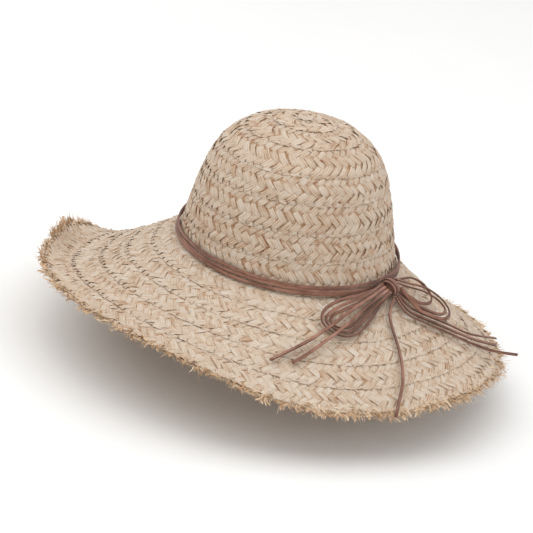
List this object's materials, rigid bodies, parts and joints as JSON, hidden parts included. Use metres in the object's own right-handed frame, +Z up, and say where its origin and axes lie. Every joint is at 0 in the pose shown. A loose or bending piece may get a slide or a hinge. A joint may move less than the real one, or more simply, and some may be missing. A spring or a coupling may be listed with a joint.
{
  "type": "straw sun hat",
  "caption": "Wide floppy straw sun hat in rows of plaited raffia, with a frayed edge, a ribbon sweatband and suede laces tied in a bow.",
  "frame": {"origin": "centre of the head opening, in the plane where the crown meets the brim", "axes": "+Z up through the crown, square to the plane of the head opening; +X to the right of the view that shows the bow in front on the right; +Y away from that view; the soft crown leans 4.2 degrees towards azimuth 135"},
  "size_m": [0.4161, 0.3952, 0.2097],
  "materials": {
    "raffia_braid": "matte plaited raffia straw",
    "raffia_fringe": "frayed raffia ends",
    "grosgrain_ribbon": "ribbed ribbon",
    "suede_lace": "matte suede"
  },
  "bodies": {
    "hat": {"crown_side_row_1": "raffia_braid", "crown_side_row_2": "raffia_braid", "crown_side_row_3": "raffia_braid", "crown_side_row_4": "raffia_braid", "crown_tip_row_1": "raffia_braid", "crown_tip_row_2": "raffia_braid", "crown_tip_centre": "raffia_braid", "brim_row_1": "raffia_braid", "brim_row_2": "raffia_braid", "brim_row_3": "raffia_braid", "brim_row_4": "raffia_braid", "brim_row_5": "raffia_braid", "brim_fringe": "raffia_fringe", "sweatband": "grosgrain_ribbon"},
    "hatband": {"hatband_lace_1": "suede_lace", "hatband_lace_2": "suede_lace", "hatband_lace_3": "suede_lace", "bow_knot": "suede_lace"},
    "left_loops": {"left_loop_1": "suede_lace", "left_loop_2": "suede_lace", "left_loop_3": "suede_lace"},
    "left_tails": {"left_tail_1": "suede_lace", "left_tail_2": "suede_lace"},
    "centre_tail": {"centre_tail": "suede_lace"},
    "right_bow_half": {"right_loop_1": "suede_lace", "right_loop_2": "suede_lace", "right_loop_3": "suede_lace", "right_tail_1": "suede_lace", "right_tail_2": "suede_lace", "right_tail_3": "suede_lace"}
  },
  "joints": [
    {"name": "hatband_lift", "type": "slide", "parent": "hat", "child": "hatband", "axis": [0, 0, 1], "range_m": [0, 0.12]},
    {"name": "left_loops_lift", "type": "hinge", "parent": "hatband", "child": "left_loops", "pos_m": [0.089, -0.057, 0.0035], "axis": [-0.8789, 0.477, 0], "range_deg": [0, 40]},
    {"name": "left_tails_lift", "type": "hinge", "parent": "left_loops", "child": "left_tails", "pos_m": [0.089, -0.057, 0.005], "axis": [-0.8391, 0.544, 0], "range_deg": [0, 28]},
    {"name": "centre_tail_lift", "type": "hinge", "parent": "hatband", "child": "centre_tail", "pos_m": [0.097, -0.057, -0.003], "axis": [-0.9918, -0.128, 0], "range_deg": [0, 60]},
    {"name": "right_bow_lift", "type": "hinge", "parent": "hatband", "child": "right_bow_half", "pos_m": [0.097, -0.045, 0.0045], "axis": [0.36, -0.933, 0], "range_deg": [0, 45]}
  ]
}
